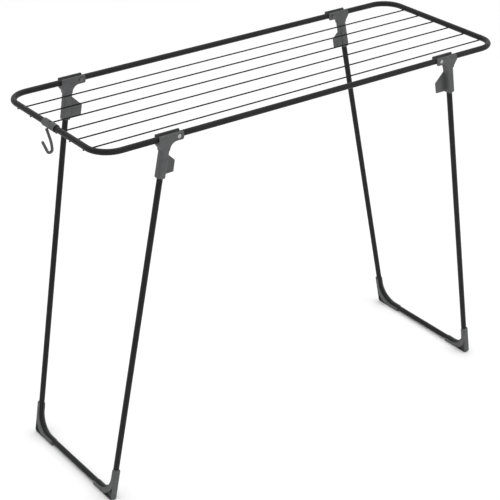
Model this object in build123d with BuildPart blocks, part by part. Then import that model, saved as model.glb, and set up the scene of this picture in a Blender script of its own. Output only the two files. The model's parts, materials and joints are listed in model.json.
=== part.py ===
from build123d import *

from math import cos, radians, sin, tan
import os

# ---------------------------------------------------------------------------
# Driving dimensions, millimetres and degrees
# ---------------------------------------------------------------------------

# Steel tube and wire
tube_diameter = 16.0
tube_wall = 1.0
bend_radius = 60.0            # centre line, the same bend everywhere
wire_diameter = 3.8
wire_count = 6
wire_pitch = 66.0
wire_sink = 0.5               # how far a wire is welded into the tube
wire_overhang = 4.5           # end of a wire beyond the short tube's centre line

# Top frame, measured between tube centre lines
frame_length = 1310.0
frame_width = 476.0
frame_height = 1032.0         # tube centre above the floor

# Legs
leg_lean = 10.3               # outwards, away from upright
leg_taper = 2.03              # inwards, in the plane of the U
pivot_x = 434.0               # pivot rivets, from the middle of the frame
pivot_offset = 31.0           # pivot to leg centre line
bar_height = 10.6             # centre of the floor bar above the floor
socket_start = 27.0           # top end of the leg tube, below the frame's centre line

# Leg heads
cheek_thickness = 3.5
cheek_gap = 17.0              # between the cheeks, round the frame tube
cheek_top = 10.6              # above the frame tube's centre line
cheek_bottom = 11.0           # below it
cheek_inner_end = 14.4        # beyond the pivot, towards the middle of the rack
cheek_join = 32.0             # depth to which the cheeks run into the socket body
# Outer ends of the cheeks: reach at the top, reach and depth of the shoulder, depth of the neck
head_shoulders = {
    "left": (57.0, 57.5, 15.0, 27.0),
    "right": (54.5, 59.0, 4.0, 21.0),
}
socket_top = 14.0             # solid top of the socket body, below the frame's centre line
head_inner_face = 9.5         # socket body, from the leg's centre line
head_outer_face = 13.0
head_length = 106.0           # lower end of the socket body, along the leg
head_depth = 24.0             # socket body, across the rack
blade_reach = 43.0            # blade edge, from the leg's centre line
blade_thickness = 2.6
blade_rim = 1.2               # blade thickness at its bevelled rim
blade_step = 1.0              # blade's inner face, outwards from the inner cheek's
seat_depth = 4.0              # top of the seat under the frame tube, below its centre line
seat_clearance = 0.3          # radial, between the seat and the frame tube

# Feet
foot_half_width = 10.25
foot_lip = 3.0                # channel lips, past the tube's centre line
foot_rise = 84.0              # top of the foot above the floor bar
foot_reach = 87.0             # end of the foot along the bar, from the corner
foot_sole = 11.4              # outside of the foot below the bar, before the flat sole is cut
foot_corner_radius = 8.0
foot_edge_radius = 6.0        # long edges on the outside
foot_wall = 2.5               # around the corner pockets
foot_web = 2.0                # between the two pockets
pocket_inner = 12.5           # pockets start this far outside the tube's bend line

# Pivot rivets
rivet_diameter = 6.0
rivet_head_diameter = 10.6
rivet_head_height = 3.0
rivet_head_edge = 0.6
rivet_tail_radius = 4.6
rivet_tail_height = 2.0
washer_diameter = 11.0
washer_thickness = 1.0
play = 0.2                    # side play of a head between rivet head and tube

# Storage hook
sleeve_length = 60.0
sleeve_diameter = 21.2
mouth_diameter = 18.8         # wider front end of the bore
mouth_depth = 9.0
window_diameter = 8.0         # hole in the top of the sleeve
hook_diameter = 7.5
hook_root = (-12.0, -7.0)     # start of the stem, from the frame tube's centre line
stem_length = 30.0
stem_lean = 15.5              # inwards, away from upright
hook_ease_radius = 113.0      # centre line of the slow bend below the stem
hook_bowl_radius = 7.2        # centre line
hook_bowl_turn = 157.5
hook_tip_length = 30.0        # straight, up to the centre of the rounded end

running_clearance = 0.05      # radial, wherever a round thing turns on another

# Worked out from these
tube_radius = tube_diameter / 2
half_length = frame_length / 2
half_width = frame_width / 2
bore_radius = tube_radius + running_clearance
sleeve_radius = sleeve_diameter / 2
mouth_radius = mouth_diameter / 2
wire_radius = wire_diameter / 2
wire_height = frame_height - tube_radius - wire_radius + wire_sink
leg_length = (frame_height - bar_height) / cos(radians(leg_lean))
leg_top_x = pivot_x + pivot_offset / cos(radians(leg_lean))
bar_x = leg_top_x + leg_length * sin(radians(leg_lean))
bar_half = half_width - leg_length * tan(radians(leg_taper))
leg_top_v = leg_length - socket_start
leg_top_u = bar_half + leg_top_v * tan(radians(leg_taper))

# Axis directions of the right leg's back limb, pointing up it, and out of the U's plane
taper_sin = sin(radians(leg_taper))
taper_cos = cos(radians(leg_taper))
lean_sin = sin(radians(leg_lean))
lean_cos = cos(radians(leg_lean))
limb_up = Vector(-taper_cos * lean_sin, taper_sin, taper_cos * lean_cos)
leg_out = Vector(lean_cos, 0, lean_sin)
limb_side = limb_up.cross(leg_out)

# Plane of the right U: x across the rack, y up the leg, z outwards
leg_plane = Plane(origin=(bar_x, 0, bar_height), x_dir=(0, 1, 0), z_dir=leg_out)


def upright(y):
    """Plane standing across the rack's width at y, with x along the rack and y upwards."""
    return Plane(origin=(0, y, 0), x_dir=(1, 0, 0), z_dir=(0, -1, 0))


def limb_point(along, outward):
    """Point in the leg's plane: distance up the limb from the corner, and out of the U."""
    across = bar_half + along * taper_sin + outward * taper_cos
    up = along * taper_cos - outward * taper_sin
    return (across, up)


def limb_at_height(up, outward):
    """Point of a line beside the limb, at a height in the leg's plane."""
    along = (up + outward * taper_sin) / taper_cos
    return limb_point(along, outward)


def is_outside(edge):
    """True for an edge that runs along the outside of the foot's corner."""
    middle = leg_plane.to_local_coords(edge @ 0.5)
    along_floor = abs(middle.Y + foot_sole) < foot_corner_radius
    beside_limb = abs(middle.X - bar_half) < foot_half_width + foot_corner_radius
    crosses = abs((edge % 0.5).dot(leg_out)) > 0.5
    return (along_floor or (beside_limb and middle.X > bar_half)) and not crosses


def corner_near(sketch, point):
    """The corner of a sketch that lies nearest to a point of its own plane."""
    return sketch.vertices().sort_by_distance((point[0], point[1], 0))[0]


# ---------------------------------------------------------------------------
# Top frame
# ---------------------------------------------------------------------------

with BuildPart() as top_frame_tube:
    with BuildLine(Plane.XY.offset(frame_height)) as frame_path:
        FilletPolyline(
            (0, -half_width),
            (half_length, -half_width),
            (half_length, half_width),
            (0, half_width),
            radius=bend_radius,
        )
    with BuildSketch(Plane(origin=(0, -half_width, frame_height), z_dir=(1, 0, 0))):
        Circle(tube_radius)
        Circle(tube_radius - tube_wall, mode=Mode.SUBTRACT)
    sweep(path=frame_path.line)
    mirror(about=Plane.YZ)
    for x in (-pivot_x, pivot_x):
        with Locations(Plane(origin=(x, 0, frame_height), z_dir=(0, 1, 0))):
            Cylinder(
                rivet_diameter / 2 + running_clearance,
                frame_width + 2 * tube_diameter,
                mode=Mode.SUBTRACT,
            )

drying_wires = []
for number in range(wire_count):
    wire_y = wire_pitch * (number - (wire_count - 1) / 2)
    with BuildPart() as drying_wire:
        with Locations(Plane(origin=(0, wire_y, wire_height), z_dir=(1, 0, 0))):
            Cylinder(wire_radius, frame_length + 2 * wire_overhang)
        chamfer(drying_wire.edges().filter_by(GeomType.CIRCLE), 0.4)
        for x in (-half_length, half_length):
            with Locations(Plane(origin=(x, 0, frame_height), z_dir=(0, 1, 0))):
                Cylinder(tube_radius, frame_width - 2 * bend_radius, mode=Mode.SUBTRACT)
    drying_wires.append(drying_wire.part)

# ---------------------------------------------------------------------------
# Legs
# ---------------------------------------------------------------------------

with BuildPart() as leg_tube:
    with BuildLine(leg_plane) as leg_path:
        FilletPolyline(
            (-leg_top_u, leg_top_v),
            (-bar_half, 0),
            (bar_half, 0),
            (leg_top_u, leg_top_v),
            radius=bend_radius,
        )
    with BuildSketch(Plane(origin=leg_path.line @ 0, z_dir=leg_path.line % 0)):
        Circle(tube_radius)
        Circle(tube_radius - tube_wall, mode=Mode.SUBTRACT)
    sweep(path=leg_path.line)

# ---------------------------------------------------------------------------
# Leg head of the right leg's back limb
# ---------------------------------------------------------------------------


def leg_line_x(depth, outward):
    """x of a line beside the leg at a depth below the frame tube, seen from the front."""
    return leg_top_x + depth * tan(radians(leg_lean)) + outward / lean_cos


cheek_inner_y = half_width - cheek_gap / 2 - cheek_thickness
cheek_outer_y = half_width + cheek_gap / 2 + cheek_thickness
cheek_inner_x = pivot_x - cheek_inner_end
blade_y = cheek_inner_y + blade_step + blade_rim
top_z = frame_height + cheek_top
under_z = frame_height - cheek_bottom
socket_end = Vector(leg_top_x, half_width, frame_height) - limb_up * head_length

blade_outline = [
    (leg_line_x(42.5, -head_inner_face) + 4.0, frame_height - 42.5),
    (leg_line_x(42.5, -head_inner_face), frame_height - 42.5),
    (leg_line_x(71.5, -blade_reach), frame_height - 71.5),
    (leg_line_x(102.0, -blade_reach), frame_height - 102.0),
    (leg_line_x(103.0, 0), frame_height - 103.0),
]
gap_outline = [
    (cheek_inner_x - 10, top_z + 10),
    (pivot_x + 80, top_z + 10),
    (pivot_x + 80, frame_height - seat_depth),
    (leg_line_x(seat_depth, -head_inner_face), frame_height - seat_depth),
    (leg_line_x(cheek_join, -head_inner_face), frame_height - cheek_join),
    (cheek_inner_x - 10, frame_height - cheek_join),
]

# Both kinds are drawn for the right leg's back limb; the left ones are mirrored afterwards
leg_heads = {}
for side, (top_reach, shoulder_reach, shoulder_depth, neck_depth) in head_shoulders.items():
    cheek_outline = [
        (cheek_inner_x, under_z),
        (cheek_inner_x, top_z),
        (pivot_x + top_reach, top_z),
        (pivot_x + shoulder_reach, frame_height - shoulder_depth),
        (leg_line_x(neck_depth, head_outer_face), frame_height - neck_depth),
        (leg_line_x(neck_depth + 5, head_outer_face), frame_height - neck_depth - 5),
        (leg_line_x(cheek_join, -head_inner_face), frame_height - cheek_join),
        (leg_line_x(cheek_bottom, -head_inner_face), under_z),
    ]
    with BuildPart() as leg_head:
        # Socket body along the leg
        with BuildSketch(Plane(origin=socket_end, x_dir=leg_out, z_dir=limb_up)) as section:
            with Locations(((head_outer_face - head_inner_face) / 2, 0)):
                Rectangle(head_outer_face + head_inner_face, head_depth)
            fillet(section.vertices().group_by(Axis.X)[-1], 8)
            fillet(section.vertices().group_by(Axis.X)[0], 4)
        extrude(amount=head_length - socket_top)
        chamfer(leg_head.faces().sort_by(Axis(socket_end, limb_up))[0].edges(), 1.2)
        # Two cheeks, as one block from side to side, opened for the frame tube afterwards
        with BuildSketch(upright(cheek_outer_y)) as cheeks:
            Polygon(*cheek_outline, align=None)
            fillet(corner_near(cheeks, cheek_outline[0]), 5)
            fillet(corner_near(cheeks, cheek_outline[1]), 3)
            fillet(corner_near(cheeks, cheek_outline[3]), 4)
            fillet(corner_near(cheeks, cheek_outline[4]), 8)
            fillet(corner_near(cheeks, cheek_outline[7]), 22)
        extrude(amount=cheek_outer_y - cheek_inner_y)
        # Below the frame tube the outside follows the leaning socket body
        split(
            bisect_by=Plane(origin=socket_end + limb_side * (head_depth / 2 + 0.05), z_dir=limb_side),
            keep=Keep.BOTTOM,
        )
        # Gap for the frame tube, open at the top and towards the middle of the rack
        with BuildSketch(upright(half_width + cheek_gap / 2)) as gap:
            Polygon(*gap_outline, align=None)
        extrude(amount=cheek_gap, mode=Mode.SUBTRACT)
        with Locations(Plane(origin=(pivot_x, half_width, frame_height), z_dir=(1, 0, 0))):
            Cylinder(tube_radius + seat_clearance, 200, mode=Mode.SUBTRACT)
        # Side blade, thin at the rim
        with BuildSketch(upright(blade_y)) as blade:
            Polygon(*blade_outline, align=None)
            fillet(corner_near(blade, blade_outline[2]), 2)
            fillet(corner_near(blade, blade_outline[3]), 2)
        extrude(amount=blade_rim)
        with BuildSketch(upright(blade_y)):
            add(blade.sketch_local)
        extrude(amount=-(blade_thickness - blade_rim), taper=55)
        # Socket for the leg tube and holes for the pivot rivet
        with Locations(Plane(origin=socket_end, z_dir=limb_up)):
            Cylinder(
                bore_radius,
                head_length - socket_start,
                align=(Align.CENTER, Align.CENTER, Align.MIN),
                mode=Mode.SUBTRACT,
            )
        with Locations(Plane(origin=(pivot_x, half_width, frame_height), z_dir=(0, 1, 0))):
            Cylinder(rivet_diameter / 2 + running_clearance, 40, mode=Mode.SUBTRACT)
    leg_heads[side] = leg_head.part

# ---------------------------------------------------------------------------
# Foot of the right leg's back limb
# ---------------------------------------------------------------------------

bend_centre = (bar_half - bend_radius / tan(radians((90 + leg_taper) / 2)), bend_radius)
foot_outline = [
    limb_point(foot_rise, -foot_lip),
    limb_point(foot_rise, foot_half_width),
    limb_at_height(-foot_sole, foot_half_width),
    (bar_half - foot_reach, -foot_sole),
    (bar_half - foot_reach, foot_lip),
    limb_at_height(foot_lip, -foot_lip),
]
pocket_outline = [
    limb_at_height(foot_wall - foot_sole, foot_half_width - foot_wall),
    limb_at_height(bend_radius, foot_half_width - foot_wall),
    bend_centre,
    (bend_centre[0], foot_wall - foot_sole),
]

with BuildPart() as foot:
    with BuildSketch(leg_plane.offset(-foot_half_width)) as block:
        Polygon(*foot_outline, align=None)
        fillet(corner_near(block, foot_outline[2]), foot_corner_radius)
        fillet(corner_near(block, foot_outline[5]), bend_radius - foot_lip)
    extrude(amount=2 * foot_half_width)
    # Long edges on the outside of the corner
    fillet(
        [edge for edge in foot.edges() if is_outside(edge)],
        foot_edge_radius,
    )
    with BuildLine(leg_plane):
        trough = FilletPolyline(
            (bar_half - foot_reach - 5, 0),
            (bar_half, 0),
            limb_point(foot_rise + 5, 0),
            radius=bend_radius,
        )
    with BuildSketch(Plane(origin=trough @ 0, z_dir=trough % 0)):
        Circle(bore_radius)
    sweep(path=trough, mode=Mode.SUBTRACT)
    # Pockets in the corner, one from each side, with a web between them
    for side in (-1, 1):
        with BuildSketch(leg_plane.offset(side * foot_web / 2)) as pocket:
            Polygon(*pocket_outline, align=None)
            with Locations(bend_centre):
                Circle(bend_radius + pocket_inner, mode=Mode.SUBTRACT)
        extrude(amount=side * foot_half_width, mode=Mode.SUBTRACT)
    # Flat sole on the floor
    split(bisect_by=Plane.XY, keep=Keep.TOP)

# ---------------------------------------------------------------------------
# Pivot rivet and washer of the right leg's back head
# ---------------------------------------------------------------------------

rivet_radius = rivet_diameter / 2
rivet_head_y = cheek_outer_y + play
washer_y = cheek_inner_y - play - washer_thickness
rivet_tail_y = washer_y - rivet_tail_height
pivot_axis = Axis((pivot_x, 0, frame_height), (0, 1, 0))

with BuildPart() as pivot_rivet:
    with BuildSketch(Plane.XY.offset(frame_height)):
        with BuildLine():
            shank = Polyline(
                (pivot_x, rivet_tail_y),
                (pivot_x + rivet_tail_radius, rivet_tail_y),
                (pivot_x + rivet_tail_radius, washer_y),
                (pivot_x + rivet_radius, washer_y),
                (pivot_x + rivet_radius, rivet_head_y),
                (pivot_x + rivet_head_diameter / 2, rivet_head_y),
                (pivot_x + rivet_head_diameter / 2, rivet_head_y + rivet_head_edge),
            )
            dome = TangentArc(
                (pivot_x, rivet_head_y + rivet_head_height),
                shank @ 1,
                tangent=(1, 0),
            )
            Line(dome @ 0, shank @ 0)
        make_face()
    revolve(axis=pivot_axis)
    tail_rim = pivot_rivet.edges().filter_by(GeomType.CIRCLE).sort_by(Axis.Y)[0]
    fillet(tail_rim, 0.8)

with BuildPart() as rivet_washer:
    with BuildSketch(Plane(origin=(pivot_x, washer_y, frame_height), z_dir=(0, 1, 0))):
        Circle(washer_diameter / 2)
        Circle(rivet_radius + running_clearance, mode=Mode.SUBTRACT)
    extrude(amount=washer_thickness)
    fillet(rivet_washer.edges().group_by(Axis.Y)[0].sort_by(SortBy.LENGTH)[-1], 0.3)

# ---------------------------------------------------------------------------
# Storage hook, around the left short side of the frame
# ---------------------------------------------------------------------------

hook_plane = Plane(origin=(-half_length, 0, frame_height), x_dir=(1, 0, 0), z_dir=(0, -1, 0))
hook_radius = hook_diameter / 2
hook_shoulder = (
    hook_root[0] + stem_length * sin(radians(stem_lean)),
    hook_root[1] - stem_length * cos(radians(stem_lean)),
)

with BuildPart() as storage_hook:
    with Locations(Plane(origin=(-half_length, 0, frame_height), z_dir=(0, 1, 0))):
        Cylinder(sleeve_radius, sleeve_length)
    fillet(storage_hook.edges().filter_by(GeomType.CIRCLE), 1.0)
    # Stem, bowl and tip, hanging from the outer side of the sleeve
    with BuildLine(hook_plane) as hook_path:
        stem = Line(hook_root, hook_shoulder)
        ease = JernArc(
            start=stem @ 1,
            tangent=stem % 1,
            radius=hook_ease_radius,
            arc_size=-stem_lean,
        )
        bowl = JernArc(
            start=ease @ 1,
            tangent=ease % 1,
            radius=hook_bowl_radius,
            arc_size=-hook_bowl_turn,
        )
        Line(bowl @ 1, bowl @ 1 + (bowl % 1) * hook_tip_length)
    with BuildSketch(Plane(origin=hook_path.line @ 0, z_dir=hook_path.line % 0)):
        Circle(hook_radius)
    sweep(path=hook_path.line)
    with Locations(hook_path.line @ 1):
        Sphere(hook_radius)
    # Bore for the frame tube, wider at the front end, and the window in its top
    with Locations(Plane(origin=(-half_length, 0, frame_height), z_dir=(0, 1, 0))):
        Cylinder(bore_radius, sleeve_length + 10, mode=Mode.SUBTRACT)
    with Locations(Plane(origin=(-half_length, -sleeve_length / 2, frame_height), z_dir=(0, 1, 0))):
        Cylinder(mouth_radius, 2 * mouth_depth, mode=Mode.SUBTRACT)
    with Locations((-half_length, 0, frame_height)):
        Cylinder(
            window_diameter / 2,
            sleeve_diameter,
            align=(Align.CENTER, Align.CENTER, Align.MIN),
            mode=Mode.SUBTRACT,
        )

# ---------------------------------------------------------------------------
# Every piece under its own name, mirrored where it repeats
# ---------------------------------------------------------------------------

pieces = {
    "top_frame_tube": top_frame_tube.part,
    "left_leg_tube": leg_tube.part.mirror(Plane.YZ),
    "right_leg_tube": leg_tube.part,
    "storage_hook": storage_hook.part,
}
for number, wire in enumerate(drying_wires, start=1):
    pieces[f"drying_wire_{number}"] = wire

for side, head in leg_heads.items():
    corner_pieces = {
        "leg_head": head,
        "foot": foot.part,
        "pivot_rivet": pivot_rivet.part,
        "rivet_washer": rivet_washer.part,
    }
    for kind, piece in corner_pieces.items():
        back = piece if side == "right" else piece.mirror(Plane.YZ)
        pieces[f"{side}_back_{kind}"] = back
        pieces[f"{side}_front_{kind}"] = back.mirror(Plane.XZ)

os.makedirs("parts", exist_ok=True)
for name, piece in pieces.items():
    piece.label = name
    export_step(piece, f"parts/{name}.step")
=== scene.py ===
import json
import math

import bmesh
import bpy
from mathutils import Matrix, Vector, noise


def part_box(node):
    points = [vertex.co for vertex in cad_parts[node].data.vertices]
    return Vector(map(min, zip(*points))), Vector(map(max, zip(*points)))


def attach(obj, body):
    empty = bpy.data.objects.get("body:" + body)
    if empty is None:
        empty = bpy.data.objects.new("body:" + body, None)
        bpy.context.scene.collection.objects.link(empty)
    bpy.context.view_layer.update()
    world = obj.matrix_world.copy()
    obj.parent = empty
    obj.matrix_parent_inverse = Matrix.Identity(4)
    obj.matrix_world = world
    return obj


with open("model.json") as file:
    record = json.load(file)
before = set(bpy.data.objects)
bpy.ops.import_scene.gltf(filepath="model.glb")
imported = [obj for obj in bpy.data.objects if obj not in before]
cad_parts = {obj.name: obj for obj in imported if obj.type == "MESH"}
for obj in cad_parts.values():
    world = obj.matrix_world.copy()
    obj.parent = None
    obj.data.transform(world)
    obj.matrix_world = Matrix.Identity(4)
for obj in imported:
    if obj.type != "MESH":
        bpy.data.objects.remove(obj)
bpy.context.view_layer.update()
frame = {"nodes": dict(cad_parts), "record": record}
scene = bpy.context.scene

# ---------------------------------------------------------------------------
# Camera
# ---------------------------------------------------------------------------

CAMERA_PLACE = (-2.3446, -3.1831, 2.5362)
CAMERA_YAW = 0.62673
CAMERA_PITCH = 0.48028
CAMERA_ROLL = 0.0042
CAMERA_LENS = 110.97


def add_camera():
    forward = Vector((
        math.sin(CAMERA_YAW) * math.cos(CAMERA_PITCH),
        math.cos(CAMERA_YAW) * math.cos(CAMERA_PITCH),
        -math.sin(CAMERA_PITCH),
    ))
    level = Vector((math.cos(CAMERA_YAW), -math.sin(CAMERA_YAW), 0))
    down = forward.cross(level)
    right = math.cos(CAMERA_ROLL) * level + math.sin(CAMERA_ROLL) * down
    low = -math.sin(CAMERA_ROLL) * level + math.cos(CAMERA_ROLL) * down
    data = bpy.data.cameras.new("camera")
    data.lens = CAMERA_LENS
    data.sensor_width = 36
    data.clip_end = 50
    camera = bpy.data.objects.new("camera", data)
    turn = Matrix((right, -low, -forward)).transposed()
    camera.matrix_world = Matrix.Translation(CAMERA_PLACE) @ turn.to_4x4()
    scene.collection.objects.link(camera)
    scene.camera = camera


add_camera()
scene.view_settings.view_transform = "Standard"

# ---------------------------------------------------------------------------
# Materials
# ---------------------------------------------------------------------------


class Surface:
    """A procedural material, built up a layer at a time in the object's own coordinates."""

    def __init__(self, name, specular, metallic=0.0, stretch=(1, 1, 1)):
        self.material = bpy.data.materials.new(name)
        self.material.use_nodes = True
        self.tree = self.material.node_tree
        self.shader = self.tree.nodes["Principled BSDF"]
        self.shader.inputs["Metallic"].default_value = metallic
        self.shader.inputs["Specular IOR Level"].default_value = specular
        self.place = self.tree.nodes.new("ShaderNodeTexCoord").outputs["Object"]
        if stretch != (1, 1, 1):
            mapping = self.tree.nodes.new("ShaderNodeMapping")
            mapping.inputs["Scale"].default_value = stretch
            self.tree.links.new(self.place, mapping.inputs["Vector"])
            self.spread = mapping.outputs["Vector"]
        else:
            self.spread = self.place

    def noise(self, size, detail=2.0, roughness=0.5):
        """Noise whose features are about size metres across."""
        node = self.tree.nodes.new("ShaderNodeTexNoise")
        node.inputs["Scale"].default_value = 1 / size
        node.inputs["Detail"].default_value = detail
        node.inputs["Roughness"].default_value = roughness
        self.tree.links.new(self.spread, node.inputs["Vector"])
        return node.outputs["Fac"]

    def ramp(self, value, low, high, to_low=0.0, to_high=1.0):
        node = self.tree.nodes.new("ShaderNodeMapRange")
        node.inputs["From Min"].default_value = low
        node.inputs["From Max"].default_value = high
        node.inputs["To Min"].default_value = to_low
        node.inputs["To Max"].default_value = to_high
        self.tree.links.new(value, node.inputs["Value"])
        return node.outputs["Result"]

    def times(self, first, second):
        node = self.tree.nodes.new("ShaderNodeMath")
        node.operation = "MULTIPLY"
        self.tree.links.new(first, node.inputs[0])
        self.tree.links.new(second, node.inputs[1])
        return node.outputs[0]

    def axis(self, name):
        node = self.tree.nodes.new("ShaderNodeSeparateXYZ")
        self.tree.links.new(self.place, node.inputs[0])
        return node.outputs[name]

    def colours(self, value, first, second):
        """A colour between first and second, which may be colours or sockets."""
        node = self.tree.nodes.new("ShaderNodeMix")
        node.data_type = "RGBA"
        self.tree.links.new(value, node.inputs["Factor"])
        for socket, colour in ((node.inputs[6], first), (node.inputs[7], second)):
            if isinstance(colour, tuple):
                socket.default_value = (*colour, 1)
            else:
                self.tree.links.new(colour, socket)
        return node.outputs[2]

    def colour(self, socket):
        self.tree.links.new(socket, self.shader.inputs["Base Color"])

    def rough(self, socket):
        self.tree.links.new(socket, self.shader.inputs["Roughness"])

    def relief(self, *layers):
        """Bumps, each a socket and a height in metres."""
        normal = None
        for value, height in layers:
            node = self.tree.nodes.new("ShaderNodeBump")
            node.inputs["Strength"].default_value = 1.0
            node.inputs["Distance"].default_value = height
            self.tree.links.new(value, node.inputs["Height"])
            if normal:
                self.tree.links.new(normal, node.inputs["Normal"])
            normal = node.outputs["Normal"]
        self.tree.links.new(normal, self.shader.inputs["Normal"])


SEAM_HALF_WIDTH = 0.0002     # parting line of a mould
SEAM_HEIGHT = 0.00015
RIVET_SHADE_STARTS = 0.238          # distance from the rack's middle plane where painted shade on a rivet begins
RIVET_SHADE_ENDS = 0.232


def powder_coat(name, painted_shade_and_gloss_scale=1.0, scuffed_below=None):
    """Satin black powder coat on steel: orange peel, specks, perhaps scuffs near the floor; a scale
    below one darkens its colour as painted shade and lowers its specular level.
    """
    paint = Surface(name, specular=0.16 * painted_shade_and_gloss_scale)
    cloud = paint.ramp(paint.noise(0.045, 3), 0.35, 0.65)
    # painted shade when the scale is below one: the same black made darker
    colour = paint.colours(cloud, tuple(painted_shade_and_gloss_scale * c for c in BLACK), tuple(painted_shade_and_gloss_scale * c for c in FADED_BLACK))
    speck = paint.ramp(paint.noise(0.0016, 1), 0.66, 0.74)
    colour = paint.colours(speck, colour, (0.022, 0.022, 0.0225))
    if scuffed_below:
        low = paint.ramp(paint.axis("Z"), scuffed_below, 0.0)
        rub = paint.ramp(paint.noise(0.0035, 5, 0.7), 0.56, 0.66)
        colour = paint.colours(paint.times(low, rub), colour, (0.085, 0.083, 0.08))
    paint.colour(colour)
    paint.rough(paint.ramp(paint.noise(0.012, 3), 0.3, 0.7, 0.36, 0.5))
    paint.relief((paint.noise(0.0022, 1), 0.00018), (paint.noise(0.0006, 2), 0.00005))
    return paint.material


def moulded(name, light, dark, scuffed_below=None, seam=None):
    """Dark grey moulded plastic: fine texture, faint flow marks, perhaps scuffs and a parting line."""
    plastic = Surface(name, specular=0.18)
    cloud = plastic.ramp(plastic.noise(0.02, 4), 0.35, 0.65)
    colour = plastic.colours(cloud, dark, light)
    speck = plastic.ramp(plastic.noise(0.0009, 2), 0.60, 0.72)
    colour = plastic.colours(speck, colour, tuple(1.35 * c for c in light))
    if scuffed_below:
        low = plastic.ramp(plastic.axis("Z"), scuffed_below, 0.0)
        rub = plastic.ramp(plastic.noise(0.003, 5, 0.7), 0.5, 0.66)
        colour = plastic.colours(plastic.times(low, rub), colour, (0.2, 0.2, 0.2))
    plastic.colour(colour)
    plastic.rough(plastic.ramp(plastic.noise(0.006, 3), 0.3, 0.7, 0.44, 0.6))
    layers = [(plastic.noise(0.0009, 2), 0.00009), (plastic.noise(0.018, 1), 0.0006)]
    if seam is not None:
        node = plastic.tree.nodes.new("ShaderNodeMath")
        node.operation = "COMPARE"
        plastic.tree.links.new(plastic.axis("Y"), node.inputs[0])
        node.inputs[1].default_value = seam
        node.inputs[2].default_value = SEAM_HALF_WIDTH
        layers.append((node.outputs[0], SEAM_HEIGHT))
    plastic.relief(*layers)
    return plastic.material


def plated(name, colour, low, high, painted_shade_colour=None):
    """Plated steel with small patches; its side towards the rack's middle may be darkened with painted
    shade.
    """
    steel = Surface(name, specular=0.5, metallic=1.0, stretch=(1, 0.25, 1))
    patch = steel.ramp(steel.noise(0.003, 3), 0.4, 0.7)
    shade = steel.colours(patch, colour, tuple(0.72 * c for c in colour))
    # painted shade: the rivet's inner end, facing the rack's middle, is darkened as if in shadow
    if painted_shade_colour:
        across = steel.tree.nodes.new("ShaderNodeMath")
        across.operation = "ABSOLUTE"
        steel.tree.links.new(steel.axis("Y"), across.inputs[0])
        painted_shade_mask = steel.ramp(across.outputs[0], RIVET_SHADE_STARTS, RIVET_SHADE_ENDS)
        shade = steel.colours(painted_shade_mask, shade, painted_shade_colour)
    steel.colour(shade)
    steel.rough(steel.ramp(steel.noise(0.0012, 3), 0.3, 0.7, low, high))
    steel.relief((steel.noise(0.0007, 2), 0.00004))
    return steel.material


BLACK = (0.0085, 0.0085, 0.009)
FADED_BLACK = (0.0125, 0.0125, 0.013)
DARK_GREY = (0.078, 0.079, 0.081)
GREY = (0.094, 0.095, 0.097)
HOOK_DARK_GREY = (0.072, 0.073, 0.075)
HOOK_GREY = (0.086, 0.087, 0.089)
BRIGHT_STEEL = (0.46, 0.46, 0.47)
# painted shade colour for the rivets' inner ends
SHADED_RIVET_STEEL = (0.13, 0.13, 0.135)
WASHER_STEEL = (0.15, 0.15, 0.155)

FINISHES = {
    "frame_paint": powder_coat("frame_powder_coat"),
    # the wires: the frame's paint at half brightness, painted shade so the thin wires look darker
    "wire_paint": powder_coat("wire_powder_coat_painted_shade", painted_shade_and_gloss_scale=0.5),
    "leg_paint": powder_coat("leg_powder_coat", scuffed_below=0.01),
    "head_plastic": moulded("head_plastic", GREY, DARK_GREY),
    "foot_plastic": moulded("foot_plastic", GREY, DARK_GREY, scuffed_below=0.006),
    "hook_plastic": moulded("hook_plastic", HOOK_GREY, HOOK_DARK_GREY, seam=0.0),
    # the rivets' inner ends get painted shade
    "rivet_steel": plated("rivet_steel", BRIGHT_STEEL, 0.14, 0.28, painted_shade_colour=SHADED_RIVET_STEEL),
    "washer_steel": plated("washer_steel", WASHER_STEEL, 0.35, 0.55),
}
for subpart in frame["record"]["subparts"]:
    node = frame["nodes"][subpart["node"]]
    node.data.materials.clear()
    node.data.materials.append(FINISHES[subpart["material_slot"]])

# ---------------------------------------------------------------------------
# Weld beads between the wires and the short tubes
# ---------------------------------------------------------------------------

TUBE_RADIUS = 0.008
BEAD_LENGTH = 0.0076
BEAD_WIDTH = 0.0049          # narrow enough to stay clear of the hook's sleeve
BEAD_HEIGHT = 0.0042
BEAD_SINK = 0.0006           # centre of a bead below the top of its wire
BEAD_RINGS = 12
BEAD_STEPS = 18
LUMP_SHARE = 0.14            # how far lumps swell a bead, as a share of its size
LUMP_SCALE = 2.2
RIPPLE_SHARE = 0.03
RIPPLE_TURNS = 22


def add_bead(mesh, place, seed):
    """One small weld bead: a lumpy rounded bead that fills the corner between wire and tube."""
    rows = []
    for ring in range(1, BEAD_RINGS):
        polar = math.pi * ring / BEAD_RINGS
        row = []
        for step in range(BEAD_STEPS):
            turn = 2 * math.pi * step / BEAD_STEPS
            around = math.sin(polar)
            direction = Vector((around * math.cos(turn), around * math.sin(turn), math.cos(polar)))
            swell = 1 + LUMP_SHARE * noise.noise(direction * LUMP_SCALE + Vector((seed, 0, 0)))
            ripple = 1 + RIPPLE_SHARE * math.sin(RIPPLE_TURNS * direction.x)
            point = direction * swell * ripple
            row.append(mesh.verts.new((
                place[0] + point.x * BEAD_LENGTH / 2,
                place[1] + point.y * BEAD_WIDTH / 2,
                place[2] + point.z * BEAD_HEIGHT / 2,
            )))
        rows.append(row)
    ends = [
        mesh.verts.new((place[0], place[1], place[2] + BEAD_HEIGHT / 2)),
        mesh.verts.new((place[0], place[1], place[2] - BEAD_HEIGHT / 2)),
    ]
    for upper, lower in zip(rows, rows[1:]):
        for step in range(BEAD_STEPS):
            after = (step + 1) % BEAD_STEPS
            mesh.faces.new((upper[step], lower[step], lower[after], upper[after]))
    for step in range(BEAD_STEPS):
        after = (step + 1) % BEAD_STEPS
        mesh.faces.new((ends[0], rows[0][step], rows[0][after]))
        mesh.faces.new((ends[1], rows[-1][after], rows[-1][step]))


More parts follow.
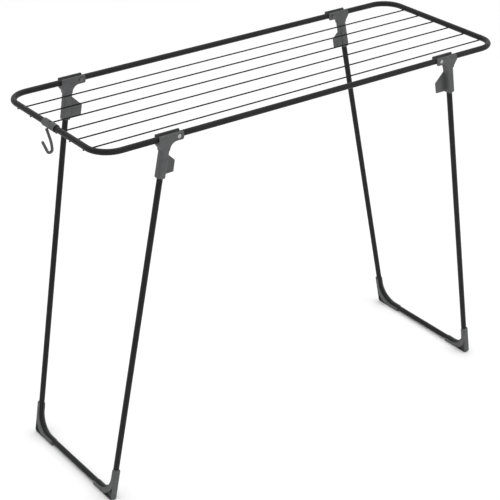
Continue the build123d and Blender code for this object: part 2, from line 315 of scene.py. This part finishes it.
def add_welds(side, sign):
    """The beads of all six wires on one short tube, as one piece."""
    tube_x = sign * (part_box("top_frame_tube")[1][0] - TUBE_RADIUS)
    mesh = bmesh.new()
    for wire in range(1, 7):
        low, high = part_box(f"drying_wire_{wire}")
        place = (tube_x, (low[1] + high[1]) / 2, high[2] - BEAD_SINK)
        add_bead(mesh, place, 3.7 * wire + 11 * sign)
    data = bpy.data.meshes.new(f"{side}_wire_welds")
    mesh.to_mesh(data)
    mesh.free()
    for face in data.polygons:
        face.use_smooth = True
    data.materials.append(FINISHES["frame_paint"])
    welds = bpy.data.objects.new(f"{side}_wire_welds", data)
    scene.collection.objects.link(welds)
    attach(welds, "frame")


add_welds("left", -1)
add_welds("right", 1)

# ---------------------------------------------------------------------------
# Floor and light
# ---------------------------------------------------------------------------


def pale_floor():
    floor = Surface("pale_floor", specular=0.1)
    cloud = floor.ramp(floor.noise(0.5, 2), 0.3, 0.7)
    floor.colour(floor.colours(cloud, (0.95, 0.95, 0.95), (0.96, 0.96, 0.96)))
    floor.rough(floor.ramp(floor.noise(0.1, 2), 0.3, 0.7, 0.85, 0.95))
    return floor.material


bpy.ops.mesh.primitive_plane_add(size=60, location=(0, 0, 0))
floor = bpy.context.object
floor.name = "floor"
floor.data.materials.append(pale_floor())


def soft_light(name, place, target, size, power):
    data = bpy.data.lights.new(name, "AREA")
    data.shape = "RECTANGLE"
    data.size, data.size_y = size
    data.energy = power
    light = bpy.data.objects.new(name, data)
    light.location = place
    aim = Vector(target) - Vector(place)
    light.rotation_euler = aim.to_track_quat("-Z", "Y").to_euler()
    scene.collection.objects.link(light)


soft_light("overhead", (0.0, 0.6, 3.2), (0, 0, 0.8), (2.6, 1.2), 14)
soft_light("right_front", (2.6, -2.6, 2.2), (0.2, 0, 0.7), (0.9, 0.9), 13)

WORLD_TILT = 0.55            # how much being on the right counts against being overhead
WORLD_LOW = -0.35            # below this the world is at its dimmest
WORLD_DIM = 0.82
WORLD_BRIGHT = 1.08


def studio_world():
    """A soft white studio, a little brighter overhead and towards the right."""
    world = bpy.data.worlds.new("world")
    world.use_nodes = True
    tree = world.node_tree
    axes = tree.nodes.new("ShaderNodeSeparateXYZ")
    tree.links.new(tree.nodes.new("ShaderNodeTexCoord").outputs["Generated"], axes.inputs[0])
    slope = tree.nodes.new("ShaderNodeMath")
    slope.operation = "MULTIPLY_ADD"
    slope.inputs[1].default_value = WORLD_TILT
    tree.links.new(axes.outputs["X"], slope.inputs[0])
    tree.links.new(axes.outputs["Z"], slope.inputs[2])
    spread = tree.nodes.new("ShaderNodeMapRange")
    spread.inputs["From Min"].default_value = WORLD_LOW
    spread.inputs["To Min"].default_value = WORLD_DIM
    spread.inputs["To Max"].default_value = WORLD_BRIGHT
    tree.links.new(slope.outputs[0], spread.inputs["Value"])
    background = tree.nodes["Background"]
    background.inputs["Color"].default_value = (1, 1, 1, 1)
    tree.links.new(spread.outputs["Result"], background.inputs["Strength"])
    scene.world = world


studio_world()
